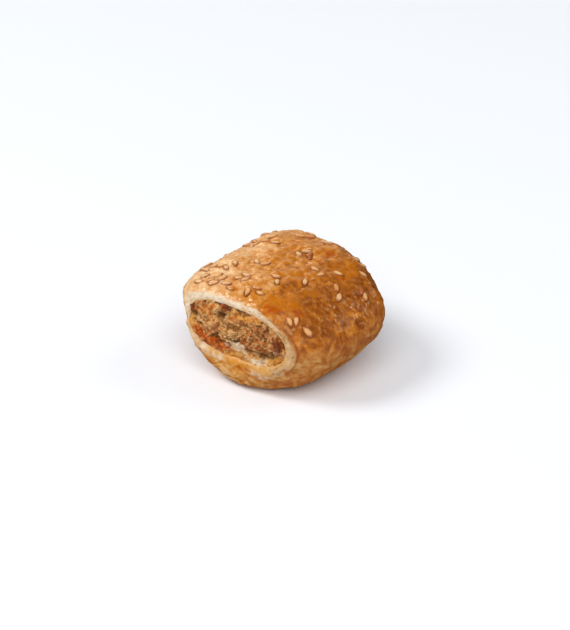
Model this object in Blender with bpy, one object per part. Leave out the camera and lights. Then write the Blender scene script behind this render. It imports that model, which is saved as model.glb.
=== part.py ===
"""A bite-size roll of baked pastry round minced meat, cut off at both ends, with sesame on its crust.

The roll lies along Y on its flattened underside. Its front cut looks to -Y, and its back cut to +Y.
Lengths below are in millimetres, and MM turns them into metres where a mesh is made. A place on the
roll has two numbers: an angle round it, 0 at the +X side and a quarter turn at the crown, and along,
from -1 at the front cut to 1 at the back cut.
"""

import bisect
import math
import random

import bmesh
import bpy
from mathutils import Matrix, Vector, noise

MM = 0.001
COLLECTION = "mini_sausage_roll"

# The roll before it settles on its underside
HALF_WIDTH = 24.1
LENGTH = 40.4
HEIGHT = 31.5
WIDEST_HEIGHT = 18.6
CROWN_SQUARENESS = 2.8
UNDERSIDE_SQUARENESS = 1.75

# How the roll narrows to its cuts: shares of its width and height that are gone at the front and back
PINCH_POWER = 4.8
SIDE_PINCH = (0.224, 0.263)
CROWN_PINCH = (0.164, 0.132)
UNDERSIDE_LIFT = 0.233

# How the roll is out of true
CROWN_LEAN = -4.7
SIDEWAYS_BEND = -1.5
LEFT_FLARE = -0.068
FLARE_BALANCE = 0.35
BEND_BALANCE = 0.33
FACE_LEAN = (0.09, 0.18)
FACE_SKEW = (0.15, -0.06)
FACE_MIDDLE_HEIGHT = 0.45 * HEIGHT

# How it rests
SETTLED = 2.3
SETTLE_EDGE = 0.8
BOX_MIDDLE = (-0.54, 0.29)

# The dough at a cut: its thickness on each side of the filling, and its rounded edges
WALL_TOP = 2.8
WALL_UNDER = 7.3
WALL_RIGHT = 4.0
WALL_LEFT = 1.2
OPENING_SQUARENESS = (2.8, 2.2)
OPENING_TILT = -0.07
RIM_RADIUS = 0.7
RIM_BULGE = 0.35
LIP_BULGE = 0.6
RIM_UNEVENNESS = 0.3
RIM_UNEVEN_SIZE = 2.6

# Low bumps of the crust, wide ones with narrower ones on them, read from noise at stated places
BUMP_SIZE = 8.0
BUMP_HEIGHT = 0.55
BUMP_FADE_HEIGHT = 3.5
BUMP_PLACE = Vector((-44.0, -20.0, 47.0))
NARROW_BUMP_SIZE = 3.5
NARROW_BUMP_HEIGHT = 0.27
NARROW_BUMP_PLACE = Vector((-26.5, -16.5, 57.5))

# The filling and the crags of its cut faces
FILLING_GAP = 0.45
FILLING_RECESS = 0.5
FILLING_SWELL = 0.9
FILLING_EDGE_RADIUS = 0.7
FILLING_EDGE_FROM = 0.85
CRAG_SIZES = (4.4, 2.3)
CRAG_HEIGHTS = (0.8, 0.8)
CRAG_FACE_STEP = 30.0
EDGE_CRUMBLE = 0.06
EDGE_CRUMBLE_SIZE = 2.2

# The groove that parts the main lump of meat from what lies under it, as X and Z from left to right.
# The moist meat under it, right of MOIST_FROM, lies deeper than the rest.
GROOVE = ((-18.0, 14.8), (-8.5, 14.2), (-4.5, 13.3), (2.3, 11.9), (5.5, 11.3), (9.5, 13.2), (14.0, 16.2))
GROOVE_WIDTH = 0.9
GROOVE_DEPTH = 1.7
MOIST_FROM = -5.0
MOIST_DROP = 1.3

# Deep pits of the meat: X, Z and radius
PITS = ((-17.0, 18.3, 1.1), (-8.0, 20.3, 1.2), (-8.2, 14.6, 1.5))
PIT_DEPTH = 1.8

# One sesame seed, how much it tapers to its point, the share of its untapered breadth that this leaves,
# and how far its middle stands above the crust
SEED_LENGTH = 3.1
SEED_WIDTH = 1.85
SEED_THICKNESS = 0.95
SEED_TAPER = 0.45
SEED_FULLEST = 0.8
SEED_LIFT = 0.05
SEED_SPREAD_IN_SIZE = 0.12
SEED_CLEARANCE = 2.3
SEED_TRIES = 40
SEED_DRAW = 2049

# Where each pinch of sesame fell: mm over the crust from the crown towards +X, mm from the middle
# towards the back, how far it spread, and how many seeds it has
SEED_PINCHES = (
    (-17.5, -11.5, 2.5, 4),
    (-15.0, -15.5, 2.2, 2),
    (-9.3, -15.8, 2.0, 5),
    (-11.5, -9.0, 2.8, 3),
    (-5.0, -14.8, 2.2, 2),
    (-2.2, -11.6, 1.6, 2),
    (-1.9, -17.7, 0.5, 1),
    (-5.0, -3.5, 1.5, 2),
    (5.0, -8.7, 2.6, 2),
    (5.0, -16.2, 1.8, 3),
    (1.2, 7.3, 1.8, 4),
    (-15.5, 5.5, 3.0, 4),
    (-11.5, 8.5, 3.0, 2),
    (-6.4, 16.5, 3.5, 3),
    (1.0, 16.2, 2.2, 2),
    (14.5, 17.5, 3.5, 3),
    (19.0, 14.5, 2.0, 1),
    (9.8, 2.8, 2.0, 2),
    (10.8, -3.8, 0.5, 1),
    (14.0, 6.8, 0.5, 1),
    (19.3, 1.2, 1.8, 2),
    (23.0, 7.8, 1.8, 2),
    (21.5, -17.2, 1.4, 2),
    (26.0, -16.6, 0.5, 1),
    (-25.0, -15.5, 3.0, 2),
    (-26.0, -8.0, 4.0, 3),
    (-24.0, 3.0, 7.0, 7),
    (-22.0, 13.0, 5.0, 5),
)

# Mesh sizes
AROUND = 72
OUTSIDE_STEPS = 21
TUNNEL_STEPS = 4
RIM_STEPS = 3
CORNER_STEPS = 2
FILLING_AROUND = 48
FACE_RINGS = 12
FILLING_STEPS = 4
SEED_SIDES = 6
SEED_RINGS = 4
OUTLINE_SAMPLES = 1440
NORMAL_STEP = 0.01

CRUST_COLOR = (0.66, 0.33, 0.09, 1.0)
FILLING_COLOR = (0.42, 0.27, 0.13, 1.0)
SEED_COLOR = (0.78, 0.58, 0.33, 1.0)


def closed_mesh(bm, mesh):
    """Writes the bmesh to the mesh with its faces looking outwards."""
    bmesh.ops.recalc_face_normals(bm, faces=bm.faces)
    bm.to_mesh(mesh)
    bm.free()
    return mesh


def clear_scene():
    for thing in list(bpy.data.objects):
        bpy.data.objects.remove(thing, do_unlink=True)


def material(name, color, roughness):
    made = bpy.data.materials.new(name)
    made.use_nodes = True
    shader = made.node_tree.nodes["Principled BSDF"]
    shader.inputs["Base Color"].default_value = color
    shader.inputs["Roughness"].default_value = roughness
    shader.inputs["Metallic"].default_value = 0.0
    return made


def smoothstep(value):
    held = min(max(value, 0.0), 1.0)
    return held * held * (3 - 2 * held)


def superellipse(angle, squareness):
    """A point of the unit outline: squareness 2 is a circle, and more is squarer."""
    across, up = math.cos(angle), math.sin(angle)
    power = 2 / squareness
    return math.copysign(abs(across) ** power, across), math.copysign(abs(up) ** power, up)


def section(angle, along):
    """X and Z of the roll's smooth skin before it settles."""
    end = 0 if along < 0 else 1
    across, up = superellipse(angle, CROWN_SQUARENESS if math.sin(angle) >= 0 else UNDERSIDE_SQUARENESS)
    pinch = abs(along) ** PINCH_POWER
    width = 1 - SIDE_PINCH[end] * pinch
    if across < 0:
        width += LEFT_FLARE * ((along * along if along < 0 else 0) - FLARE_BALANCE)
    x = HALF_WIDTH * width * across + CROWN_LEAN * smoothstep(up)
    x += SIDEWAYS_BEND * (along * along - BEND_BALANCE)
    if up >= 0:
        return x, WIDEST_HEIGHT + (HEIGHT - WIDEST_HEIGHT) * (1 - CROWN_PINCH[end] * pinch) * up
    return x, WIDEST_HEIGHT + WIDEST_HEIGHT * (1 - UNDERSIDE_LIFT * pinch) * up


def settle(height):
    """The height once the underside is pressed flat, with a soft edge round the flat."""
    raised = height - SETTLED
    if raised >= SETTLE_EDGE:
        return raised
    return max(raised + SETTLE_EDGE, 0.0) ** 2 / (4 * SETTLE_EDGE)


def placed(x, z, along):
    """The point of the roll over (x, z) of its section, where its leaning faces move it along Y."""
    front, back = (1 - along) / 2, (1 + along) / 2
    lean = (z - FACE_MIDDLE_HEIGHT) * (front * FACE_LEAN[0] + back * FACE_LEAN[1])
    skew = x * (front * FACE_SKEW[0] + back * FACE_SKEW[1])
    return Vector((x - BOX_MIDDLE[0], along * LENGTH / 2 + lean + skew - BOX_MIDDLE[1], settle(z)))


def skin(angle, along):
    return placed(*section(angle, along), along)


def skin_normal(angle, along):
    """The outward normal of the smooth skin."""
    inner = max(min(along, 1 - NORMAL_STEP), NORMAL_STEP - 1)
    round_it = skin(angle + NORMAL_STEP, inner) - skin(angle - NORMAL_STEP, inner)
    along_it = skin(angle, inner + NORMAL_STEP) - skin(angle, inner - NORMAL_STEP)
    return round_it.cross(along_it).normalized()


def bumps(point):
    """Height of the crust's low bumps, none of which reach the flat underside."""
    wide = BUMP_HEIGHT * noise.noise((point + BUMP_PLACE) / BUMP_SIZE)
    narrow = NARROW_BUMP_HEIGHT * noise.noise((point + NARROW_BUMP_PLACE) / NARROW_BUMP_SIZE)
    return (wide + narrow) * smoothstep(point.z / BUMP_FADE_HEIGHT)


def crust(angle, along):
    point = skin(angle, along)
    return point + skin_normal(angle, along) * bumps(point)


def opening(angle, along, inset=0.0):
    """X and Z of the tunnel's outline, a stated inset inside it."""
    right, left = section(0, along)[0] - WALL_RIGHT, section(math.pi, along)[0] + WALL_LEFT
    top, under = section(math.pi / 2, along)[1] - WALL_TOP, section(-math.pi / 2, along)[1] + WALL_UNDER
    across, up = superellipse(angle, OPENING_SQUARENESS[math.cos(angle) > 0])
    x = (right - left) / 2 - inset
    z = (top - under) / 2 - inset
    tilt = OPENING_TILT * x * across
    return (right + left) / 2 + x * across, (top + under) / 2 + z * up + tilt


def tunnel(angle, along, inset=0.0):
    """A point of the tunnel, which runs straight from its front mouth to its back one."""
    mouths = Vector(opening(angle, -1, inset)).lerp(Vector(opening(angle, 1, inset)), (1 + along) / 2)
    return placed(mouths.x, mouths.y, along)


def wall_stations():
    """Stations round the dough's thickness: (along, depth in mm, depth as a share of the thickness)."""
    half = LENGTH / 2
    outside = 1 - RIM_RADIUS / half
    stations = [(-outside + 2 * outside * i / (OUTSIDE_STEPS - 1), 0.0, 0.0) for i in range(OUTSIDE_STEPS)]

    def corner(side, at_tunnel):
        for i in range(1, CORNER_STEPS + 1):
            turn = math.pi / 2 * i / CORNER_STEPS
            along = side * (1 - RIM_RADIUS / half * (1 - math.sin(turn)))
            depth = RIM_RADIUS * (1 - math.cos(turn))
            yield (along, -depth, 1.0) if at_tunnel else (along, depth, 0.0)

    def rim(side):
        for i in range(1, RIM_STEPS + 1):
            share = i / (RIM_STEPS + 1)
            yield side, RIM_RADIUS * (1 - 2 * share), share

    stations += list(corner(1, False)) + list(rim(1)) + list(corner(1, True))[::-1]
    stations += [(outside - 2 * outside * i / TUNNEL_STEPS, 0.0, 1.0) for i in range(TUNNEL_STEPS + 1)]
    stations += list(corner(-1, True)) + list(rim(-1))[::-1] + list(corner(-1, False))[::-1]
    return stations


def wall_point(angle, station):
    """A point of the dough's surface, which bulges at the rims and most at the lip under the filling."""
    along, depth, share = station
    outer, inner = crust(angle, along), tunnel(angle, along)
    thickness = (inner - outer).length
    through = depth / thickness + share
    point = outer.lerp(inner, through)
    crown = 4 * through * (1 - through)
    bulge = RIM_BULGE + LIP_BULGE * smoothstep(-math.sin(angle))
    uneven = RIM_UNEVENNESS * noise.noise(point / RIM_UNEVEN_SIZE)
    point.y += math.copysign((bulge + uneven) * crown, along)
    return point


def even_angles(count):
    """Angles that cut the middle section's outline into equal lengths, from the crown round by the left."""
    fine = [math.pi / 2 + math.tau * i / OUTLINE_SAMPLES for i in range(OUTLINE_SAMPLES + 1)]
    outline = [Vector(section(angle, 0)) for angle in fine]
    run = [0.0]
    for before, after in zip(outline, outline[1:]):
        run.append(run[-1] + (after - before).length)
    return [fine[bisect.bisect_left(run, run[-1] * i / count)] for i in range(count)]


def angle_across(distance):
    """The angle a stated distance over the crust from the crown, positive towards +X."""
    step = -math.copysign(math.tau / OUTLINE_SAMPLES, distance)
    angle, gone, here = math.pi / 2, 0.0, Vector(section(math.pi / 2, 0))
    while gone < abs(distance):
        angle += step
        there = Vector(section(angle, 0))
        gone += (there - here).length
        here = there
    return angle


def make_pastry(parts, crust_material):
    stations = wall_stations()
    angles = even_angles(AROUND)
    bpy.ops.mesh.primitive_torus_add(major_segments=AROUND, minor_segments=len(stations))
    pastry = bpy.context.object
    pastry.name = "pastry"
    pastry.users_collection[0].objects.unlink(pastry)
    parts.objects.link(pastry)
    bm = bmesh.new()
    bm.from_mesh(pastry.data)
    for vertex in bm.verts:
        major, minor = divmod(vertex.index, len(stations))
        vertex.co = wall_point(angles[major], stations[minor]) * MM
    closed_mesh(bm, pastry.data).materials.append(crust_material)
    return pastry


def groove_height(x):
    """Height of the groove over x, by straight runs between its named places."""
    for (start_x, start_z), (end_x, end_z) in zip(GROOVE, GROOVE[1:]):
        if x <= end_x:
            return start_z + (end_z - start_z) * (x - start_x) / (end_x - start_x)
    return GROOVE[-1][1]


def pit_depth(x, z, radius):
    return PIT_DEPTH * math.exp(-(x * x + z * z) / radius**2)


def crags(x, z, side):
    """How far the meat stands out of its cut face, with its lumps, groove, moist part and pits."""
    place = Vector((x, side * CRAG_FACE_STEP, z))
    rough = sum(height * noise.noise(place / size) for size, height in zip(CRAG_SIZES, CRAG_HEIGHTS))
    under = groove_height(x) - z
    groove = GROOVE_DEPTH * math.exp(-((under / GROOVE_WIDTH) ** 2))
    moist = MOIST_DROP * smoothstep(under / GROOVE_WIDTH) * smoothstep((x - MOIST_FROM) / GROOVE_WIDTH)
    pits = sum(pit_depth(x - pit_x, z - pit_z, radius) for pit_x, pit_z, radius in PITS)
    return rough - groove - moist - pits


def filling_point(angle, ring, side):
    """A point of a cut face of the filling: ring 0 is its middle and 1 its edge, which rounds over."""
    edge = tunnel(angle, side, FILLING_GAP)
    middle = (tunnel(0, side, FILLING_GAP) + tunnel(math.pi, side, FILLING_GAP)) / 2
    crumble = EDGE_CRUMBLE * abs(noise.noise(edge / EDGE_CRUMBLE_SIZE))
    point = middle.lerp(edge, ring * (1 - crumble))
    swell = FILLING_SWELL * (1 - ring * ring) - FILLING_RECESS
    rounded = FILLING_EDGE_RADIUS * smoothstep((ring - FILLING_EDGE_FROM) / (1 - FILLING_EDGE_FROM))
    point.y += side * (swell - rounded + crags(point.x, point.z, side) * (1 - ring**4 / 2))
    return point


def make_filling(parts, filling_material):
    """A sphere whose two caps become the rough cut faces and whose belt becomes the core between them."""
    bm = bmesh.new()
    rings = 2 * FACE_RINGS + FILLING_STEPS
    bmesh.ops.create_uvsphere(bm, u_segments=FILLING_AROUND, v_segments=rings, radius=1)
    for vertex in bm.verts:
        ring = round(math.acos(max(-1.0, min(1.0, vertex.co.z))) / math.pi * rings)
        angle = math.atan2(vertex.co.y, vertex.co.x)
        if ring <= FACE_RINGS:
            point = filling_point(angle, ring / FACE_RINGS, -1)
        elif ring >= rings - FACE_RINGS:
            point = filling_point(angle, (rings - ring) / FACE_RINGS, 1)
        else:
            along = -1 + 2 * (ring - FACE_RINGS) / FILLING_STEPS
            point = tunnel(angle, along, FILLING_GAP)
        vertex.co = point * MM
    filling = bpy.data.objects.new("filling", closed_mesh(bm, bpy.data.meshes.new("filling")))
    filling.data.materials.append(filling_material)
    parts.objects.link(filling)
    return filling


def seed_places():
    """(angle, along, heading, size) of each seed. A seed that would lie on another is drawn again."""
    draw = random.Random(SEED_DRAW)
    taken, places = [], []
    for across, along, spread, count in SEED_PINCHES:
        for _ in range(count):
            for _ in range(SEED_TRIES):
                turn, reach = draw.uniform(0, math.tau), spread * math.sqrt(draw.random())
                spot = Vector((across + reach * math.cos(turn), along + reach * math.sin(turn)))
                if all((spot - other).length > SEED_CLEARANCE for other in taken):
                    break
            taken.append(spot)
            size = 1 + draw.uniform(-SEED_SPREAD_IN_SIZE, SEED_SPREAD_IN_SIZE)
            places.append((angle_across(spot.x), spot.y / (LENGTH / 2), draw.uniform(0, math.tau), size))
    return places


def seed_frame(angle, along, heading, size):
    """The matrix that lays a seed on the crust, pointing where its heading says."""
    up = skin_normal(angle, along)
    forward = Vector((0, 1, 0)) - up * up.y
    forward.normalize()
    forward = Matrix.Rotation(heading, 3, up) @ forward
    turned = Matrix((forward, up.cross(forward), up)).transposed().to_4x4()
    at = (crust(angle, along) + up * SEED_LIFT) * MM
    return Matrix.Translation(at) @ turned @ Matrix.Scale(size * MM, 4)


def seed_mesh(seed_material):
    """A flat drop with its point towards +X, in millimetres."""
    bm = bmesh.new()
    bmesh.ops.create_uvsphere(bm, u_segments=SEED_SIDES, v_segments=SEED_RINGS, radius=1)
    for vertex in bm.verts:
        x, y, z = vertex.co
        taper = 1 - SEED_TAPER * (z + 1) / 2
        breadth = taper / SEED_FULLEST / 2
        vertex.co = (z * SEED_LENGTH / 2, y * breadth * SEED_WIDTH, x * breadth * SEED_THICKNESS)
    mesh = closed_mesh(bm, bpy.data.meshes.new("seed"))
    mesh.materials.append(seed_material)
    return mesh


def fuse_seeds(pastry, seed_material):
    """Lays the seeds on the crust and joins them to it by one Boolean union, which is applied."""
    loose = bpy.data.collections.new("loose_seeds")
    bpy.context.scene.collection.children.link(loose)
    shape = seed_mesh(seed_material)
    for number, place in enumerate(seed_places()):
        seed = bpy.data.objects.new(f"seed_{number}", shape)
        seed.matrix_world = seed_frame(*place)
        loose.objects.link(seed)
    union = pastry.modifiers.new("seeds", "BOOLEAN")
    union.operation = "UNION"
    union.operand_type = "COLLECTION"
    union.collection = loose
    union.solver = "EXACT"
    union.material_mode = "TRANSFER"
    bpy.context.view_layer.update()
    graph = bpy.context.evaluated_depsgraph_get()
    fused = bpy.data.meshes.new_from_object(pastry.evaluated_get(graph))
    pastry.modifiers.remove(union)
    pastry.data = fused
    for seed in list(loose.objects):
        bpy.data.objects.remove(seed, do_unlink=True)
    bpy.data.collections.remove(loose)


def main():
    clear_scene()
    parts = bpy.data.collections.new(COLLECTION)
    bpy.context.scene.collection.children.link(parts)
    pastry = make_pastry(parts, material("baked_crust", CRUST_COLOR, 0.35))
    fuse_seeds(pastry, material("sesame", SEED_COLOR, 0.5))
    filling = make_filling(parts, material("minced_filling", FILLING_COLOR, 0.7))
    for piece in (pastry, filling):
        piece.data.shade_smooth()


main()
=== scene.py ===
"""Looks of the sausage roll: its baked crust, its sesame and its meat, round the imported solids.

The roll's skin, tunnel and seeds are worked out as in the part's source, on arrays. Lengths are in
millimetres until a mesh is made. A place on the roll has two numbers: an angle round it, 0 at the +X side
and a quarter turn at the crown, and along, from -1 at the front cut to 1 at the back cut.

Named steps are a start, a width and a height. Named layers of noise are the size of the features, a shift
and a strength. Named patches are the raggedness of their edges and its size, then for each patch two
coordinates, two radii and a strength. A height or strength that is left out is 1.
"""

import math
import random

import bpy
import numpy as np
from mathutils import Matrix, Vector, noise


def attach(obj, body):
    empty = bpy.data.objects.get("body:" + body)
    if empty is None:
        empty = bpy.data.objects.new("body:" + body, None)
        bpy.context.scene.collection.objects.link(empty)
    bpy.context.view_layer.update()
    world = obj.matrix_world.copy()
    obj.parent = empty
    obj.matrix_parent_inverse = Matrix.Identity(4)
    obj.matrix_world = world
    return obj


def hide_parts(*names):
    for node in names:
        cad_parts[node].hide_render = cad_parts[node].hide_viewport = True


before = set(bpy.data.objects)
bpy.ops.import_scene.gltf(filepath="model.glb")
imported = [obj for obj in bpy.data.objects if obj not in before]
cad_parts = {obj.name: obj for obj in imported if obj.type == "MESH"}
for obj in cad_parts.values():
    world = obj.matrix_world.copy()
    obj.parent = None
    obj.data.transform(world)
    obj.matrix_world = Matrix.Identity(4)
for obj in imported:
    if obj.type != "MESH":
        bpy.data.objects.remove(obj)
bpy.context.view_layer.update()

MM = 0.001
TINY = 1e-12
NO_SHIFT = (0, 0, 0)

# ---- the solids' own dimensions
HALF_WIDTH = 24.1
LENGTH = 40.4
HEIGHT = 31.5
WIDEST_HEIGHT = 18.6
CROWN_SQUARENESS = 2.8
UNDERSIDE_SQUARENESS = 1.75
PINCH_POWER = 4.8
SIDE_PINCH = (0.224, 0.263)
CROWN_PINCH = (0.164, 0.132)
UNDERSIDE_LIFT = 0.233
CROWN_LEAN = -4.7
SIDEWAYS_BEND = -1.5
LEFT_FLARE = -0.068
FLARE_BALANCE = 0.35
BEND_BALANCE = 0.33
FACE_LEAN = (0.09, 0.18)
FACE_SKEW = (0.15, -0.06)
FACE_MIDDLE_HEIGHT = 0.45 * HEIGHT
SETTLED = 2.3
SETTLE_EDGE = 0.8
BOX_MIDDLE = (-0.54, 0.29)
WALL_TOP = 2.8
WALL_UNDER = 7.3
WALL_RIGHT = 4
WALL_LEFT = 1.2
OPENING_SQUARENESS = (2.2, 2.8)
OPENING_TILT = -0.07
RIM_RADIUS = 0.7
RIM_BULGE = 0.35
LIP_BULGE = 0.6
RIM_UNEVENNESS = (2.6, NO_SHIFT, 0.3)
BUMPS = ((8, (-44, -20, 47), 0.55), (3.5, (-26.5, -16.5, 57.5), 0.27))
BUMPS_FROM = (0, 3.5)
CRAGS = ((4.4, NO_SHIFT, 0.8), (2.3, NO_SHIFT, 0.8))
CRAG_FACE_STEP = 30
SEED_LENGTH = 3.1
SEED_WIDTH = 1.85
SEED_THICKNESS = 0.95
SEED_TAPER = 0.45
SEED_FULLEST = 0.8
SEED_LIFT = 0.05
SEED_SPREAD_IN_SIZE = 0.12
SEED_CLEARANCE = 2.3
SEED_TRIES = 40
SEED_DRAW = 2049
# Pinches of seeds: mm over the crust from the crown towards +X, mm along it, radius, number of seeds
SEED_PINCHES = (
    (-17.5, -11.5, 2.5, 4), (-15, -15.5, 2.2, 2), (-9.3, -15.8, 2, 5), (-11.5, -9, 2.8, 3),
    (-5, -14.8, 2.2, 2), (-2.2, -11.6, 1.6, 2), (-1.9, -17.7, 0.5, 1), (-5, -3.5, 1.5, 2),
    (5, -8.7, 2.6, 2), (5, -16.2, 1.8, 3), (1.2, 7.3, 1.8, 4), (-15.5, 5.5, 3, 4), (-11.5, 8.5, 3, 2),
    (-6.4, 16.5, 3.5, 3), (1, 16.2, 2.2, 2), (14.5, 17.5, 3.5, 3), (19, 14.5, 2, 1), (9.8, 2.8, 2, 2),
    (10.8, -3.8, 0.5, 1), (14, 6.8, 0.5, 1), (19.3, 1.2, 1.8, 2), (23, 7.8, 1.8, 2),
    (21.5, -17.2, 1.4, 2), (26, -16.6, 0.5, 1), (-25, -15.5, 3, 2), (-26, -8, 4, 3), (-24, 3, 7, 7),
    (-22, 13, 5, 5),
)
OUTLINE_SAMPLES = 1440
NORMAL_STEP = 0.01

# ---- mesh sizes
AROUND = 440
OUTSIDE_STEPS = 116
RIM_STEPS = 26
CORNER_STEPS = 6
TUNNEL_STEPS = 4


def smoothstep(value):
    held = np.clip(value, 0, 1)
    return held * held * (3 - 2 * held)


def above(value, start, width, height=1):
    """A smooth step up from 0 as a value rises from a start."""
    return height * smoothstep((value - start) / width)


def below(value, start, width, height=1):
    """A smooth step up from 0 as a value falls from a start."""
    return height * smoothstep((start - value) / width)


def bell(value, width, height=1):
    """A smooth bump round 0."""
    return height * np.exp(-((value / width) ** 2))


def superellipse(angle, squareness):
    """Across and up, from -1 to 1, of a point of a round or squarish outline."""
    across, up = np.cos(angle), np.sin(angle)
    power = 2 / squareness
    return np.copysign(np.abs(across) ** power, across), np.copysign(np.abs(up) ** power, up)


def section(angle, along):
    """X and Z of the roll's smooth skin before it settles."""
    front = along < 0
    square = np.where(np.sin(angle) >= 0, CROWN_SQUARENESS, UNDERSIDE_SQUARENESS)
    across, up = superellipse(angle, square)
    pinch = np.abs(along) ** PINCH_POWER
    width = 1 - np.where(front, *SIDE_PINCH) * pinch
    width = width + np.where(across < 0, LEFT_FLARE * (np.where(front, along * along, 0) - FLARE_BALANCE), 0)
    x = HALF_WIDTH * width * across + CROWN_LEAN * smoothstep(up)
    x = x + SIDEWAYS_BEND * (along * along - BEND_BALANCE)
    crown = (HEIGHT - WIDEST_HEIGHT) * (1 - np.where(front, *CROWN_PINCH) * pinch)
    under = WIDEST_HEIGHT * (1 - UNDERSIDE_LIFT * pinch)
    return x, WIDEST_HEIGHT + np.where(up >= 0, crown, under) * up


def settle(height):
    """The height once the underside is pressed flat, with a soft edge round the flat."""
    raised = height - SETTLED
    pressed = np.maximum(raised + SETTLE_EDGE, 0) ** 2 / (4 * SETTLE_EDGE)
    return np.where(raised >= SETTLE_EDGE, raised, pressed)


def placed(x, z, along):
    """A section's points in the roll, with its leaning cuts and its settled underside."""
    ends = (-1, 1)
    lean = (z - FACE_MIDDLE_HEIGHT) * np.interp(along, ends, FACE_LEAN)
    y = along * LENGTH / 2 + lean + x * np.interp(along, ends, FACE_SKEW) - BOX_MIDDLE[1]
    return np.stack(np.broadcast_arrays(x - BOX_MIDDLE[0], y, settle(z)), -1)


def skin(angle, along):
    return placed(*section(angle, along), along)


def unit(vectors):
    return vectors / np.maximum(np.linalg.norm(vectors, axis=-1, keepdims=True), TINY)


def skin_normal(angle, along):
    inner = np.clip(along, NORMAL_STEP - 1, 1 - NORMAL_STEP)
    round_it = skin(angle + NORMAL_STEP, inner) - skin(angle - NORMAL_STEP, inner)
    along_it = skin(angle, inner + NORMAL_STEP) - skin(angle, inner - NORMAL_STEP)
    return unit(np.cross(round_it, along_it))


def noise_of(points, size, shift=NO_SHIFT, strength=1):
    """Noise at each point, from minus to plus a strength, with features of a stated size."""
    flat = ((np.asarray(points) + shift) / size).reshape(-1, 3).tolist()
    found = np.fromiter(map(noise.noise, flat), float, len(flat))
    return strength * found.reshape(np.shape(points)[:-1])


def noises_of(points, layers):
    return sum(noise_of(points, *layer) for layer in layers)


def warp_of(points, size, shift):
    """Three numbers at each point that bend the patterns on it."""
    step, *rest = shift
    return np.stack([noise_of(points, size, (step * i, *rest)) for i in range(3)], -1)


def bumps(point):
    return noises_of(point, BUMPS) * above(point[..., 2], *BUMPS_FROM)


def crust(angle, along):
    """The skin with its bumps."""
    point = skin(angle, along)
    return point + skin_normal(angle, along) * bumps(point)[..., None]


def opening(angle, along, inset=0):
    """X and Z of the tunnel's outline, a stated inset inside it."""
    right, left = section(0, along)[0] - WALL_RIGHT, section(math.pi, along)[0] + WALL_LEFT
    top, under = section(math.pi / 2, along)[1] - WALL_TOP, section(-math.pi / 2, along)[1] + WALL_UNDER
    square = np.where(np.cos(angle) > 0, *OPENING_SQUARENESS)
    across, up = superellipse(angle, square)
    x = (right - left) / 2 - inset
    z = (top - under) / 2 - inset
    return (right + left) / 2 + x * across, (top + under) / 2 + z * up + OPENING_TILT * x * across


def tunnel(angle, along, inset=0):
    """The tunnel's wall, straight from the front opening to the back one."""
    front_x, front_z = opening(angle, np.float64(-1), inset)
    back_x, back_z = opening(angle, np.float64(1), inset)
    share = (1 + along) / 2
    return placed(front_x + (back_x - front_x) * share, front_z + (back_z - front_z) * share, along)


def wall_stations():
    """Stations round the dough's thickness: along, depth in mm, depth as a share of the thickness."""
    rounding = RIM_RADIUS / (LENGTH / 2)
    outside = 1 - rounding
    stations = [(x, 0, 0) for x in np.linspace(-outside, outside, OUTSIDE_STEPS)]

    def corner(side, at_tunnel):
        for i in range(1, CORNER_STEPS + 1):
            turn = math.pi / 2 * i / CORNER_STEPS
            along = side * (1 - rounding * (1 - math.sin(turn)))
            depth = RIM_RADIUS * (1 - math.cos(turn))
            yield (along, -depth, 1) if at_tunnel else (along, depth, 0)

    def rim(side):
        for i in range(1, RIM_STEPS + 1):
            share = i / (RIM_STEPS + 1)
            yield side, RIM_RADIUS * (1 - 2 * share), share

    stations += list(corner(1, False)) + list(rim(1)) + list(corner(1, True))[::-1]
    stations += [(x, 0, 1) for x in np.linspace(outside, -outside, TUNNEL_STEPS + 1)]
    stations += list(corner(-1, True)) + list(rim(-1))[::-1] + list(corner(-1, False))[::-1]
    return np.array(stations)


def outline_run():
    """Angles from the crown round by the left, and how far over the crust each lies at the middle."""
    fine = math.pi / 2 + math.tau * np.arange(OUTLINE_SAMPLES + 1) / OUTLINE_SAMPLES
    outline = np.stack(section(fine, np.float64(0)), -1)
    steps = np.linalg.norm(np.diff(outline, axis=0), axis=1)
    return fine, np.concatenate([[0], np.cumsum(steps)])


def angle_across(distance):
    """The angle a stated distance over the crust from the crown, positive towards +X."""
    fine, run = outline_run()
    if distance <= 0:
        return fine[np.searchsorted(run, -distance)]
    other_way = run[-1] - run[::-1]
    return fine[::-1][np.searchsorted(other_way, distance)] - math.tau


def seed_places():
    """(angle, along, heading, size) of each seed. A seed that would lie on another is drawn again."""
    draw = random.Random(SEED_DRAW)
    taken, places = [], []
    for across, along, spread, count in SEED_PINCHES:
        for _ in range(count):
            for _ in range(SEED_TRIES):
                turn, reach = draw.uniform(0, math.tau), spread * math.sqrt(draw.random())
                spot = Vector((across + reach * math.cos(turn), along + reach * math.sin(turn)))
                if all((spot - other).length > SEED_CLEARANCE for other in taken):
                    break
            taken.append(spot)
            size = 1 + draw.uniform(-SEED_SPREAD_IN_SIZE, SEED_SPREAD_IN_SIZE)
            places.append((angle_across(spot.x), spot.y / (LENGTH / 2), draw.uniform(0, math.tau), size))
    return places


def seed_axes(angle, along, heading, size):
    """Middle, forward, sideways and up of a seed, in mm."""
    angle, along = np.float64(angle), np.float64(along)
    up = Vector(skin_normal(angle, along))
    forward = Vector((0, 1, 0)) - up * up.y
    forward.normalize()
    forward = Matrix.Rotation(heading, 3, up) @ forward
    middle = Vector(crust(angle, along)) + up * SEED_LIFT
    return middle, forward, up.cross(forward), up


def add_object(name, data):
    made = bpy.data.objects.new(name, data)
    bpy.context.scene.collection.objects.link(made)
    return made


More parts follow.
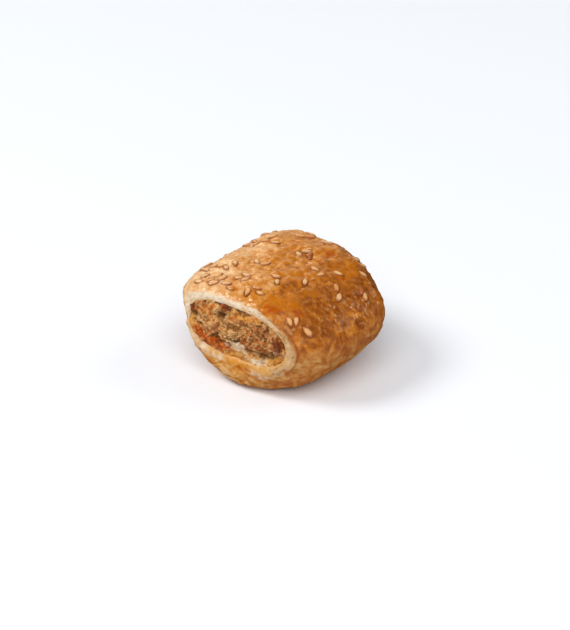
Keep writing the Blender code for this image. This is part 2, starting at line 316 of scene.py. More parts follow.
def mesh_object(name, points, faces, attributes, slots=None):
    """A smooth mesh from points in mm, with numbers kept at its points for the materials."""
    mesh = bpy.data.meshes.new(name)
    mesh.from_pydata((np.asarray(points) * MM).tolist(), [], faces)
    for key, values in attributes.items():
        values = np.asarray(values, np.float32)
        kind = "FLOAT" if values.ndim == 1 else "FLOAT_VECTOR"
        layer = mesh.attributes.new(key, kind, "POINT")
        layer.data.foreach_set("value" if values.ndim == 1 else "vector", values.ravel())
    if slots is not None:
        mesh.polygons.foreach_set("material_index", slots)
    mesh.shade_smooth()
    mesh.update()
    return add_object(name, mesh)


def grid_faces(rows, columns, wrap_rows):
    """Faces of a grid of points that is closed across its columns, and maybe across its rows."""
    row, column = np.meshgrid(np.arange(rows if wrap_rows else rows - 1), np.arange(columns), indexing="ij")
    next_row, next_column = (row + 1) % rows, (column + 1) % columns
    pairs = ((row, column), (row, next_column), (next_row, next_column), (next_row, column))
    return np.stack([r * columns + c for r, c in pairs], -1).reshape(-1, 4).tolist()


def with_poles(grid):
    """A grid's values one after another, with its first row and its last row as one point each."""
    return np.concatenate([grid[:1, 0], grid[1:-1].reshape(-1, *grid.shape[2:]), grid[-1:, 0]])


def ball(rings, around):
    """Coordinates of the points of a plain ball, the last one from pole to pole."""
    polar = math.pi * np.arange(rings + 1)[:, None] / rings
    turn = math.tau * np.arange(around) / around
    return np.sin(polar) * np.cos(turn), np.sin(polar) * np.sin(turn), np.cos(polar) + 0 * turn


def capped_faces(rings, around):
    """Faces of rows of points between two poles, the first point and the last."""
    last = 1 + (rings - 1) * around
    base = last - around
    faces = [tuple(corner + 1 for corner in face) for face in grid_faces(rings - 1, around, False)]
    faces += [(0, 1 + (i + 1) % around, 1 + i) for i in range(around)]
    return faces + [(last, base + i, base + (i + 1) % around) for i in range(around)]


def add_copy(points, faces, more_points, more_faces):
    """Adds a shape to lists of points and faces that already hold others."""
    start = len(points)
    points.extend(more_points)
    faces.extend([tuple(corner + start for corner in face) for face in more_faces])


def grid_normals(grid):
    """Unit normals of a grid of points closed both ways, by their neighbours."""
    rows = np.roll(grid, -1, 0) - np.roll(grid, 1, 0)
    columns = np.roll(grid, -1, 1) - np.roll(grid, 1, 1)
    return unit(np.cross(columns, rows))


# ---- the crust's grid
def crust_grid():
    """Points of the dough, round the roll and round its thickness, and where each lies."""
    fine, run = outline_run()
    reach = run[-1] * np.arange(AROUND) / AROUND
    angle = np.interp(reach, run, fine)[:, None]
    across = np.where(reach < run[-1] / 2, -reach, run[-1] - reach)[:, None]
    along, depth, share = wall_stations().T[:, None]
    outer, inner = crust(angle, along), tunnel(angle, along)
    thickness = np.linalg.norm(inner - outer, axis=-1)
    through = depth / thickness + share
    point = outer + (inner - outer) * through[..., None]
    bulge = RIM_BULGE + LIP_BULGE * smoothstep(-np.sin(angle))
    bulge = (bulge + noise_of(point, *RIM_UNEVENNESS)) * 4 * through * (1 - through)
    point[..., 1] += np.copysign(bulge, along)
    angle, across, along = np.broadcast_arrays(angle, across, along)
    return point, angle, across, along, through, thickness


# ---- the crust's tones and patches
# How browned the crust is, from 0 for pale gold to 1 for dark brown; the low flanks are also set darker as
# painted shade. Each: mm over the crust from the crown towards +X, mm from the middle towards the back, tone
TONES = (
    (-22, -15, 0.1), (-12, -13, 0.08), (-13, -18.5, 0.24), (-14, 2, 0.22), (-19, 8, 0.34),
    (-6, -4, 0.47), (-5, 10, 0.6), (-3, 17, 0.54), (3, -11, 0.4), (3, 3, 0.56), (13.5, -17.5, 0.66),
    (12.5, -7.5, 0.8), (9, 0, 0.66), (13, 3, 0.74), (19, -7, 0.88), (20, -17.5, 0.76), (16, 9.5, 0.84),
    (24, 4, 0.9), (9.5, -19.5, 0.5), (21.5, -15.5, 0.84), (25.5, -14, 0.92), (28.5, -8.5, 0.84),
    (29.5, 1, 0.8), (30, 12, 0.84), (33, -10, 0.72), (36, 6, 0.74), (40, -11, 0.64), (43, 3, 0.62),
    (43, -16, 0.62), (55, -5, 0.6), (-36, -5, 0.6), (-30, 10, 0.6), (-45, 5, 0.55),
)
TONE_REACH = 5
TONE_BLEND = 0.05

# Patches of the cut dough, by X and Z
PALE_LIP = (0.35, 1.2, (
    (12, 9.6, 4.6, 2.4, 1), (8.6, 7.2, 4, 2.2, 0.8), (-10.4, 8.5, 2, 0.8, 0.6),
    (-6.6, 8, 1.8, 0.5, 0.2), (5, 7.8, 2.6, 0.6, 0.3),
))
JUICE_LIP = (0.35, 1.2, (
    (-3.4, 9.8, 2.8, 1.1, 1), (-1.4, 8.8, 2.4, 0.9, 0.9), (-8, 9.6, 1.6, 0.6, 0.6),
    (2.6, 7.2, 1.6, 0.6, 0.15),
))
YELLOW_LIP = (0.35, 1.2, (
    (7.6, 8.6, 3.2, 1.2, 1), (11.6, 11.6, 1.6, 1.2, 0.9), (-16.9, 16, 0.9, 3, 0.9),
    (3, 8.2, 2, 0.6, 0.6),
))
TOASTED_LIP = (0.35, 1.2, ((1.9, 7.7, 2.2, 1, 1),))
# Pools of amber glaze and small caught spots, by mm over the crust from the crown and along it
AMBER = (0.5, 2.5, (
    (13.5, -15.8, 5, 2.8, 1), (14.5, 10.5, 3.6, 5, 1), (-2, 9, 2.6, 4, 0.6), (14, -9, 3, 5, 0.5),
    (22, -13, 3, 4, 0.15), (9, -1, 3, 5, 0.6), (18, 5, 2.5, 3, 0.5), (-30, 6, 3, 5, 0.6),
    (-42, -8, 4, 4, 0.5), (30, 13, 3, 3, 0.5),
))
SCORCHED = (0.5, 1.2, (
    (14.6, -18.6, 1.6, 1.2, 1), (16.6, -18.2, 1.2, 1, 0.7), (20, -15, 1.6, 1, 0.6),
    (7, 12, 1.2, 1.6, 0.6), (-1, 6.5, 1.4, 1, 0.5), (16, 6, 1.2, 1.6, 0.5), (-28, 9, 1.6, 1.2, 0.6),
))
PATCH_SHIFT = (7, 3, 2)
PATCH_EDGE = (0.5, 0.9)


def wide_tone(across, along_mm):
    """The browning named above, blended from spot to spot."""
    total, weights = 0, 0
    for spot_across, spot_along, tone in TONES:
        gone = ((across - spot_across) ** 2 + (along_mm - spot_along) ** 2) / TONE_REACH**2
        weight = 1 / (TONE_BLEND + gone) ** 2
        total, weights = total + weight * tone, weights + weight
    return total / weights


def spots(first, second, patches):
    """How much each point lies in some ragged-edged patches, by its two coordinates."""
    ragged, size, places = patches
    edge = noise_of(np.stack([first, 0 * first, second], -1), size, PATCH_SHIFT, 2 * ragged)
    held = np.zeros(first.shape)
    for middle, other_middle, radius, other_radius, strength in places:
        far = np.hypot((first - middle) / radius, (second - other_middle) / other_radius) + edge
        held = np.maximum(held, strength * (1 - above(far, *PATCH_EDGE)))
    return held


# ---- pores and seeds' edges
PORES = 110
PORE_DRAW = 5
PORE_ANGLES = (-0.9, 3.3)
PORE_PLACES = (0.2, 0.75)
PORE_WIDTHS = (0.1, 0.26)
PORE_STRETCHES = (1, 2.4)
PORE_STRENGTHS = (0.2, 1)
PORE_LEAST = 0.45
PORE_CLEAR_RIGHT = (-10, 8, 0.55)
FAR_OFF = 10
# The dark ring round each seed: pooled, browned glaze, shifted downhill so that it also stands as painted
# shade
HALO_DRAW = 23
HALO_STRENGTHS = (0.45, 1)
HALO_LEFT = 0.8
HALO_DOWNHILL = 0.4
HALO_NEAR = 3.5
HALO_START = 0.9
HALO_WIDTH = 0.21


def pore_dents(point, through, angle, side):
    """Depth of the pores on one side's cut dough: small dents drawn out along the rim."""
    draw = random.Random(PORE_DRAW + side)
    dents = np.zeros(through.shape)
    for _ in range(PORES):
        at = draw.uniform(*PORE_ANGLES)
        share = draw.uniform(*PORE_PLACES)
        row = int(np.argmin(np.abs((angle[:, 0] - at + math.pi) % math.tau - math.pi)))
        other_side = side * point[row, :, 1] < 0
        column = int(np.argmin(np.abs(through[row] - share) + FAR_OFF * other_side))
        wide = draw.uniform(*PORE_WIDTHS)
        long = wide * draw.uniform(*PORE_STRETCHES)
        middle = point[row, column]
        strength = draw.uniform(*PORE_STRENGTHS) * (PORE_LEAST + above(middle[0], *PORE_CLEAR_RIGHT))
        tangent = unit(point[(row + 1) % len(point), column] - point[row - 1, column])
        offset = point - middle
        far = np.linalg.norm(offset, axis=-1)
        along_it = (offset * tangent).sum(-1)
        across_it = np.sqrt(np.maximum(far**2 - along_it**2, 0))
        dents = np.maximum(dents, bell(along_it, long, strength) * bell(across_it, wide))
    return dents


def seed_halo(point, seeds):
    """How near each point lies to the edge of a seed: pooled, browned glaze, and painted shade on its
    downhill side.
    """
    draw = random.Random(HALO_DRAW)
    flat = point.reshape(-1, 3)
    halo = np.zeros(len(flat))
    for place in seeds:
        strength = draw.uniform(*HALO_STRENGTHS) * (HALO_LEFT if place[0] > math.pi / 2 else 1)
        middle, forward, sideways, up = (np.array(v) for v in seed_axes(*place))
        downhill = up * up[2] - (0, 0, 1)
        offset = flat - middle - HALO_DOWNHILL * downhill
        near = np.linalg.norm(offset, axis=1) < HALO_NEAR
        u = offset[near] @ forward / (SEED_LENGTH / 2 * place[3])
        v = offset[near] @ sideways / (SEED_WIDTH / 2 * place[3])
        gap = (np.hypot(u, v) - HALO_START) * SEED_WIDTH / 2
        halo[near] = np.maximum(halo[near], bell(np.maximum(gap, 0), HALO_WIDTH, strength))
    return halo.reshape(point.shape[:2])


# ---- crust
RAGGED = ((1.3, (6, 1, 4)), (3.1, (2, 5, 4), 0.7))
# The rim of cut dough, and its browned lower lip
RIM_START = 0.45
RIM_SOFTNESS = 0.7
RIM_SOFTER_LEFT = (2, 8, 0.9)
RIM_CURL = (6, 8, 0.25)
LIP_LOW = (10.5, 2.6)
LIP_LOW_RAGGED = 1.6
LIP_RIGHT_END = (14, 5)
LIP_RIGHT_RAGGED = 2
LIP_LEFT_END = (-17.5, 3)
LIP_LOWEST = (8.2, 3)
LIP_LOWEST_RAGGED = 1.2
PALE_SHARE = 0.85
STAIN_REACH = 1.5
STAIN_SHARE = 0.6
STAIN = (2.3, (4, 4, 1), 1.1)
# What warms and darkens the cut dough: toasting, and on its right and low parts painted shade
WARM_RIGHT = (3, 12, 0.8)
WARM_LOW = (15, 8, 0.45)
WARM_RAGGED = 0.35
WARM_OUTER = (1.8, 1.4, 0.4)
WARM_OUTER_RIGHT = (5, 6)
WARM_RAGGED_LOW = (12, 4, 0.5)
WARM_LEFT = (-10, 4, 0.3)
WARM_LEFT_LOW = (17, 3)
# Browning
CRUST_WARP = (3.5, (9, 2, 5))
CRUST_BEND = 1.6
TONE_BEND = 2.5
STREAKS = (((3.4, 1.7, 3.4),), ((1.6, 0.8, 1.6), (9, 4, 3), 0.7))
STREAK_TONE = 0.08
BLOTCH = (2.3, (3, 8, 1))
BLOTCH_FINE = (1.1, (5, 1, 7), 0.6)
BLOTCH_TONE = 0.16
FLANK = (22, 8)
FLANK_CALM = 0.1
ISLANDS = (((3, 1.7, 3), (7, 3, 6), 1.3), ((1.3, 0.9, 1.3), (5, 8, 1), 0.7))
ISLAND_TONE = (-0.5, 1, 0.32)
BETWEEN_ISLANDS = 0.17
DARK_FROM = 0.8
DARK_HELD_BACK = 0.6
ON_LIP = (-1.2, 1.5)
ON_LIP_LOW = (12, 3)
LEAVES = ((4.5, 2, 0.8), (2, 2, 8))
LEAVES_LOW = (9, 3)
LIP_TONE = 0.41
LIP_TONE_RIGHT = (-1, 6, 0.2)
LIP_BLOTCH = 0.26
LIP_STREAK = 0.12
LIP_LEAF = 0.45
LIP_DARKEST = 0.68
TOASTED_TONE = 0.35
TOASTED_DARKEST = 0.8
GLOW_PLACE = 0.3
GLOW_REACH = 1.3
GLOW_WIDER_RIGHT = (-2, 8, 0.7)
GLOW_TONE = 0.1
# Relief
FREE_OF_TABLE = (0, 2)
RIM_SIDE = (0.2, 0.8)
FOLD = ((2.4, 1.2, 2.4), (2, 4, 3), 2)
FOLD_HEIGHT = 0.07
BLISTER = (1.9, (3, 8, 1))
BLISTER_FINE = (0.95, (1, 8, 5), 0.5)
BLISTER_HEIGHT = 0.25
BLISTER_TONE = 1.8
RELIEF_TONE = 0.06
RIM_ROUGHNESS = (0.9, NO_SHIFT, 0.12)
PORE_DEPTH = 0.2
LEAF_HEIGHT = 0.3
CREASE_PLACE = 0.05
CREASE_RAGGED = 0.12
CREASE_WIDTH = 0.2
CREASE_FROM = (18, 7)
CREASE_TO = (46, 6)
CREASE_DEPTH = 0.2
HALO_END = (0.2, 0.5)
HALO_DEPTH = 0.06
MATT_LOW = (22, 8)


def cut_dough(point, reach, to_meat, ragged):
    """The rim, and how much each point is bare cut dough, browned by toasting and painted shade, juicy and
    yellow.
    """
    x, height = point[..., 0], point[..., 2]
    softness = RIM_SOFTNESS + below(x, *RIM_SOFTER_LEFT)
    past_start = reach - above(x, *RIM_CURL) - RIM_START
    rim = smoothstep((past_start + (softness + ragged) / 2) / softness)
    lip = below(height - LIP_LOW_RAGGED * ragged, *LIP_LOW)
    lip = lip * below(x - LIP_RIGHT_RAGGED * ragged, *LIP_RIGHT_END) * above(x, *LIP_LEFT_END)
    lip = np.maximum(lip, below(height - LIP_LOWEST_RAGGED * ragged, *LIP_LOWEST))
    cut = rim * (1 - lip * (1 - PALE_SHARE * spots(x, height, PALE_LIP)))
    stain = bell(np.maximum(to_meat, 0), STAIN_REACH) * rim
    stain = stain * np.clip(STAIN_SHARE + noise_of(point, *STAIN), 0, 1)
    toast_and_shade = above(x, *WARM_RIGHT) + below(height, *WARM_LOW) + WARM_RAGGED * ragged
    toast_and_shade = toast_and_shade + below(reach, *WARM_OUTER) * above(x, *WARM_OUTER_RIGHT)
    toast_and_shade = toast_and_shade + ragged * below(height, *WARM_RAGGED_LOW)
    toast_and_shade = toast_and_shade + below(x, *WARM_LEFT) * below(height, *WARM_LEFT_LOW)
    juice = rim * spots(x, height, JUICE_LIP)
    yellow = np.maximum(rim * spots(x, height, YELLOW_LIP), stain)
    return rim, {"cut": cut, "toast_and_shade": np.clip(toast_and_shade, 0, 1), "juice": juice, "yellow": yellow}


def make_crust(seeds):
    point, angle, across, along, through, thickness = crust_grid()
    normal = grid_normals(point)
    if ((point - point.mean((0, 1))) * normal)[:, :OUTSIDE_STEPS].sum() < 0:
        normal = -normal
    along_mm = along * LENGTH / 2
    depth = through * thickness
    reach = depth - (LENGTH / 2 - np.abs(along_mm))
    x, height = point[..., 0], point[..., 2]
    ragged = noises_of(point, RAGGED)
    rim, marks = cut_dough(point, reach, thickness - depth, ragged)

    # browning
    warp = warp_of(point, *CRUST_WARP)
    bent = point + CRUST_BEND * warp
    tone = wide_tone(across + TONE_BEND * warp[..., 0], along_mm + TONE_BEND * warp[..., 1])
    streak = noises_of(bent, STREAKS)
    blotch = noise_of(bent, *BLOTCH) + noise_of(point, *BLOTCH_FINE)
    flank = above(across, *FLANK)
    island = noises_of(bent, ISLANDS)
    tone = tone + STREAK_TONE * (1 - flank) * streak + (BLOTCH_TONE - FLANK_CALM * flank) * blotch
    tone = tone + flank * (above(island, *ISLAND_TONE) - BETWEEN_ISLANDS)
    tone = tone - DARK_HELD_BACK * np.maximum(tone - DARK_FROM, 0)
    on_lip = above(reach, *ON_LIP) * below(height, *ON_LIP_LOW)
    leaves = noise_of(bent, *LEAVES) * on_lip * below(height, *LEAVES_LOW)
    lip_tone = LIP_TONE + above(x, *LIP_TONE_RIGHT) + LIP_BLOTCH * blotch + LIP_STREAK * streak
    lip_tone = np.minimum(lip_tone - LIP_LEAF * leaves, LIP_DARKEST)
    toasted = lip_tone + TOASTED_TONE * spots(x, height, TOASTED_LIP)
    tone = tone * (1 - on_lip) + on_lip * np.minimum(toasted, TOASTED_DARKEST)
    glow_reach = GLOW_REACH + above(across, *GLOW_WIDER_RIGHT)
    tone = np.clip(tone - bell(reach + GLOW_PLACE, glow_reach, GLOW_TONE) * (1 - on_lip), 0, 1)

    # relief: blisters, wrinkles that run round the roll, and pores of the cut
    outside = 1 - above(reach, *RIM_SIDE)
    fold = noise_of(bent, *FOLD)
    blister = noise_of(bent, *BLISTER) + noise_of(point, *BLISTER_FINE)
    relief = (FOLD_HEIGHT * fold + BLISTER_HEIGHT * blister) * outside * above(height, *FREE_OF_TABLE)
    # Paler on raised blisters and folds and browner in their dips: pooled glaze, and painted shade of the
    # relief
    tone = np.clip(tone - RELIEF_TONE * (fold + BLISTER_TONE * blister) * outside, 0, 1)
    dents = np.maximum(*(pore_dents(point, through, angle, side) for side in (-1, 1))) * marks["cut"]
    relief = relief + rim * noise_of(point, *RIM_ROUGHNESS) - PORE_DEPTH * dents + LEAF_HEIGHT * leaves

    # the crease where the crust curls over beside the right end of the front rim; it is dipped in, and
    # painted dark as painted shade
    crease = bell(reach + CREASE_PLACE - CREASE_RAGGED * ragged, CREASE_WIDTH) * (along < 0)
    crease = crease * above(across, *CREASE_FROM) * below(across, *CREASE_TO)
    halo = seed_halo(point, seeds) * (1 - above(reach, *HALO_END))
    relief = relief - HALO_DEPTH * halo - CREASE_DEPTH * crease

    marks.update(
        tone=tone,
        matt=flank * below(height, *MATT_LOW) * (1 - on_lip),
        pore=dents,
        halo=halo,
        amber=spots(across, along_mm, AMBER) * (1 - on_lip),
        scorch=spots(across, along_mm, SCORCHED) * (1 - on_lip),
        lip=on_lip,
        crease=crease,
    )
    point = point + normal * relief[..., None]
    point[..., 2] = np.maximum(point[..., 2], 0)
    faces = grid_faces(*point.shape[:2], True)
    attributes = {key: values.ravel() for key, values in marks.items()}
    return mesh_object("crust", point.reshape(-1, 3), faces, attributes)


# ---- sesame
SESAME_AROUND = 20
SESAME_RINGS = 14
SESAME_LENGTH = 3.25
SESAME_WIDTH = 1.65
SESAME_UNEVENNESS = (0.8, NO_SHIFT, 0.06)
SESAME_DRAW = 7
# How often each look is drawn, pale first
LOOK_WEIGHTS_LEFT = (4, 3, 3.5, 0.15)
LOOK_WEIGHTS_RIGHT = (4, 3, 1.2, 0.15)
# Looks that are set instead: the look's number, X and Y in mm that its seeds lie near, and how near
SET_LOOKS = (
    (1, ((13.6, -15.3), (14.9, -14), (18.5, -13.5)), 0.5),
    (3, ((-12.3, -9.3), (17.8, 9.3), (-0.8, 11), (3.2, -17.3)), 1.5),
)


def make_sesame(seeds):
    """Each seed is a flat drop, with a blunt round end and a point."""
    draw = random.Random(SESAME_DRAW)
    x, y, z = ball(SESAME_RINGS, SESAME_AROUND)
    taper = (1 - SEED_TAPER * (z + 1) / 2) / SEED_FULLEST / 2
    shape = np.stack([z * SESAME_LENGTH / 2, y * taper * SESAME_WIDTH, x * taper * SEED_THICKNESS], -1)
    seed_faces = capped_faces(SESAME_RINGS, SESAME_AROUND)
    to_point, to_edge = with_poles(z), with_poles(np.hypot(z, y))
    points, faces, slots, local = [], [], [], []
    for place in seeds:
        middle, forward, sideways, up = (np.array(v) for v in seed_axes(*place))
        at = middle + place[3] * shape @ np.stack([forward, sideways, up])
        at = at + noise_of(at, *SESAME_UNEVENNESS)[..., None] * up
        add_copy(points, faces, with_poles(at), seed_faces)
        weights = LOOK_WEIGHTS_LEFT if place[0] > math.pi / 2 else LOOK_WEIGHTS_RIGHT
        look = draw.choices(range(len(weights)), weights=weights)[0]
        for set_look, near, within in SET_LOOKS:
            if min(math.dist(middle[:2], spot) for spot in near) < within:
                look = set_look
        slots.extend([look] * len(seed_faces))
        local.extend(np.stack([to_point, to_edge, draw.random() + 0 * to_edge], -1))
    return mesh_object("sesame", points, faces, {"seed": local}, slots)


# ---- meat
MEAT_AROUND = 340
MEAT_RINGS = 110
RING_SPACING = 0.85
MEAT_BELT = 4
BELT_REACH = 0.9
# Patches of the meat's cut faces, by X and Z
MEAT_PATCHES = {
    "toast": (0.5, 1, (
        (-16.6, 21.4, 2.2, 1.8, 1), (-13.6, 22.9, 2.4, 1, 0.8), (-5.8, 23.8, 1.6, 1.9, 1),
        (-8, 17, 1.1, 1.8, 0.8), (-1.6, 21.4, 1.8, 1, 0.6), (1.4, 16.6, 1.3, 1.7, 1),
        (4.2, 20.6, 1.6, 1, 0.7), (7.8, 19.6, 2.6, 1.2, 0.7), (4.6, 14.8, 3, 1.1, 0.9),
        (8.4, 15.6, 2.2, 1.3, 0.8), (12.1, 17.9, 2.4, 2, 1),
    )),
    "crisp": (0.5, 1, (
        (-13.2, 13.8, 2.4, 1.9, 1), (-9.6, 12.7, 3.2, 2.1, 1), (-5.8, 12, 1.9, 1.4, 0.9),
    )),
    "char": (0.5, 0.8, (
        (-16.8, 21.2, 1.6, 1.4, 1), (-5.6, 24.2, 1, 1.1, 1), (12.3, 17.8, 1.6, 1.4, 1),
        (-14.4, 14.6, 0.9, 0.8, 0.6),
    )),
    "moist": (0.5, 0.8, (
        (-1.3, 13.2, 2.9, 1.3, 1), (5, 10.2, 3.2, 0.9, 1), (7.4, 11, 2, 0.6, 0.6), (12, 15, 1.4, 0.9, 0.2),
        (1, 12, 1.6, 0.7, 0.7),
    )),
    "fat": (0.5, 1.1, (
        (-16.8, 16.4, 1.2, 3.4, 1), (11.8, 12.9, 1.9, 1.4, 1), (1.6, 22.9, 4.6, 0.9, 0.9),
        (-2.4, 9.8, 4, 0.9, 1), (13.6, 16, 0.8, 1.6, 0.7),
    )),
    # Pits, dug in and painted dark olive as painted shade; some lie along the groove
    "shaded_pit": (0.45, 0.9, (
        (-15.6, 19, 1.3, 0.9, 1), (-13, 16.8, 0.9, 0.7, 0.9), (-6.2, 21.2, 1.5, 0.8, 1),
        (-7.8, 14.5, 1.6, 1.1, 1), (-5.6, 13.4, 1.4, 0.6, 0.7), (-2.2, 14.7, 1.6, 0.5, 1),
        (2.8, 13.2, 1.4, 0.6, 0.8), (7.2, 12.9, 3, 1, 0.65), (10.4, 14.2, 1, 0.6, 0.8),
    )),
}
# Large lumps, the groove across them, as a line of X and Z, and the sunk moist part under it
GROOVE = ((-18, 14.8), (-7.8, 14.4), (-2.2, 14.5), (2.8, 13), (7.4, 12.6), (10.4, 13.9), (14, 16.2))
CRAG_SHARE = 0.8
GROOVE_RAGGED = (1.6, (5, 5, 5), 1.2)
GROOVE_OPEN = 0.7
GROOVE_UNEVEN = (3, (1, 2, 7), 1.6)
GROOVE_OPEN_RANGE = (0.1, 1.2)
GROOVE_SPREAD = 1.2
GROOVE_DEPTH = 0.4
GROOVE_LEFT_END = (-9, 4)
SUNK = (0, 0.9)
SUNK_RIGHT = (-5, 0.9)
SUNK_DEPTH = 0.7
SUNK_CALM = 0.5
# How far each face laps over the dough round it
MEAT_OVERLAP = 0.45
OVERLAP_LAYERS = ((2.2, NO_SHIFT, 0.9), (1, (3, 3, 3), 0.6))
OVERLAP_RANGE = (-0.2, 1)
# Small lumps and grain, and how the face swells
MEAT_WARP = (1.6, (6, 3, 9))
MEAT_BEND = 0.7
LUMPS = ((2.4, (4, 1, 2), 0.9), (1.2, (1, 7, 3), 0.7))
GRAIN = ((0.6, (2, 5, 8)), (0.33, NO_SHIFT, 0.5))
GRAIN_SHARE = 0.55
UNDER_GROOVE = (0, 1.5)
UNDER_GROOVE_RIGHT = (-5, 3)
MEAT_ROUGHNESS = 0.46
ROUGHNESS_CALM = 0.6
CRAG_RELIEF = 0.8
PIT_RELIEF = 1.1
EDGE_CALM = (0.9, 0.1, 0.75)
SWELL = 0.75
SWELL_POWER = 4
STAND_OUT = 0.05
SPREAD = 0.35
SPREAD_POWER = 8
# Marks for the material: painted shade, darker in the meat's hollows, then toast, fat and tint
DEEP = 0.1
DEEP_BY_RISE = 0.9
DEEP_BY_CRAGS = 0.5
DEEP_RANGE = (-1, 1.5)
DEEP_CALM = 0.8
TOAST_RIGHT = (-3, 9, 0.35)
TOAST_HIGH = (12.5, 2)
FAT_UNDER_GROOVE = 0.6
TINT = 0.47
TINT_LAYERS = ((3.2, (8, 8, 2), 0.6), (1.5, (3, 9, 2), 0.45))
TINT_BY_GRAIN = 0.35
TINT_SHADE_RIGHT = (-7, 7, 0.22)


def groove_height(x):
    return np.interp(x, *zip(*GROOVE))


def crags(x, z, side):
    """How far the meat's large lumps stand out of its cut face."""
    place = np.stack(np.broadcast_arrays(x, side * CRAG_FACE_STEP, z), -1)
    rough = noises_of(place, CRAGS)
    under = groove_height(x) - z + noise_of(place, *GROOVE_RAGGED)
    opened = np.clip(GROOVE_OPEN + noise_of(place, *GROOVE_UNEVEN), *GROOVE_OPEN_RANGE)
    groove = opened * bell(under, GROOVE_SPREAD, GROOVE_DEPTH) * above(x, *GROOVE_LEFT_END)
    sunk = above(under, *SUNK)
    return CRAG_SHARE * rough * (1 - SUNK_CALM * sunk) - groove - SUNK_DEPTH * sunk * above(x, *SUNK_RIGHT)


def meat_angles():
    return (math.tau * np.arange(MEAT_AROUND) / MEAT_AROUND)[None]


def meat_face(side):
    """Points of one cut face of the meat, in rings from its middle, and its marks for the material."""
    angle, end = meat_angles(), np.float64(side)
    ring = ((np.arange(MEAT_RINGS + 1) / MEAT_RINGS) ** RING_SPACING)[:, None]
    plain_edge = tunnel(angle, end)
    overlap = MEAT_OVERLAP + noises_of(plain_edge, OVERLAP_LAYERS)
    edge = tunnel(angle, end, -np.clip(overlap, *OVERLAP_RANGE))
    middle = (tunnel(np.float64(0), end) + tunnel(np.float64(math.pi), end)) / 2
    point = middle + (edge - middle) * ring[..., None]
    x, z = point[..., 0].copy(), point[..., 2].copy()
    warp = warp_of(point, *MEAT_WARP)
    bent = point + MEAT_BEND * warp
    grain = noises_of(point, GRAIN)
    rise = noises_of(bent, LUMPS) + GRAIN_SHARE * grain
    large = crags(x, z, side)
    marks = {key: spots(x, z, patches) for key, patches in MEAT_PATCHES.items()}
    under_groove = above(groove_height(x) - z, *UNDER_GROOVE) * above(x, *UNDER_GROOVE_RIGHT)
    calm = np.maximum(marks["moist"], under_groove)

    fine = MEAT_ROUGHNESS * rise * (1 - ROUGHNESS_CALM * calm)
    relief = (CRAG_RELIEF * large - PIT_RELIEF * marks["shaded_pit"] + fine) * (1 - above(ring, *EDGE_CALM))
    point[..., 1] += side * (SWELL * (1 - ring**SWELL_POWER) + relief + STAND_OUT)
    for axis in (0, 2):
        point[..., axis] += SPREAD * warp[..., axis] * (1 - ring**SPREAD_POWER)

    # Painted shade: darker where the meat sinks between its lumps and large crags
    deep = np.clip(DEEP - DEEP_BY_RISE * rise - DEEP_BY_CRAGS * large, *DEEP_RANGE)
    # The tint is lowered towards the right as painted shade
    tint = TINT + noises_of(bent, TINT_LAYERS) + TINT_BY_GRAIN * grain - above(x, *TINT_SHADE_RIGHT)
    marks.update(deep=(1 - DEEP_CALM * calm) * deep, calm=calm, tint=np.clip(tint, 0, 1))
    marks["toast"] = np.maximum(marks["toast"], above(x, *TOAST_RIGHT) * above(z, *TOAST_HIGH))
    marks["fat"] = np.maximum(marks["fat"], FAT_UNDER_GROOVE * under_groove)
    return point, marks


def make_meat(front, back):
    """One closed skin: the front face, a belt in the tunnel and the back face."""

    def joined(front, belt, back):
        return with_poles(np.concatenate([front, belt, back[::-1]]))

    belt = tunnel(meat_angles(), np.linspace(-BELT_REACH, BELT_REACH, MEAT_BELT)[:, None])
    marks = {key: joined(front[1][key], np.zeros(belt.shape[:2]), back[1][key]) for key in front[1]}
    faces = [face[::-1] for face in capped_faces(2 * MEAT_RINGS + MEAT_BELT + 1, MEAT_AROUND)]
    return mesh_object("meat", joined(front[0], belt, back[0]), faces, marks)


# ---- crumbs
CRUMBS = 110
CRUMB_DRAW = 11
CRUMB_AROUND = 14
CRUMB_RINGS = 9
CLEAR_OF_EDGE = 3
OUTWARD_POWER = 0.6
CRUMB_RADIUS = 0.25
CRUMB_GROWTH = 0.35
GROWTH_POWER = 1.5
SQUASH = (0.7, 1.3)
CRUMB_FLATNESS = 0.7
CRUMB_TINT = (-0.15, 0.15)
MOST_PIT = 0.4
MOST_CALM = 0.35
CRUMB_SUNK = 0.15
CRUMB_LUMPS = (0.5, NO_SHIFT, 0.7)
CRUMB_SHADE = -0.1
CRUMB_SHADE_OUTWARD = 0.35


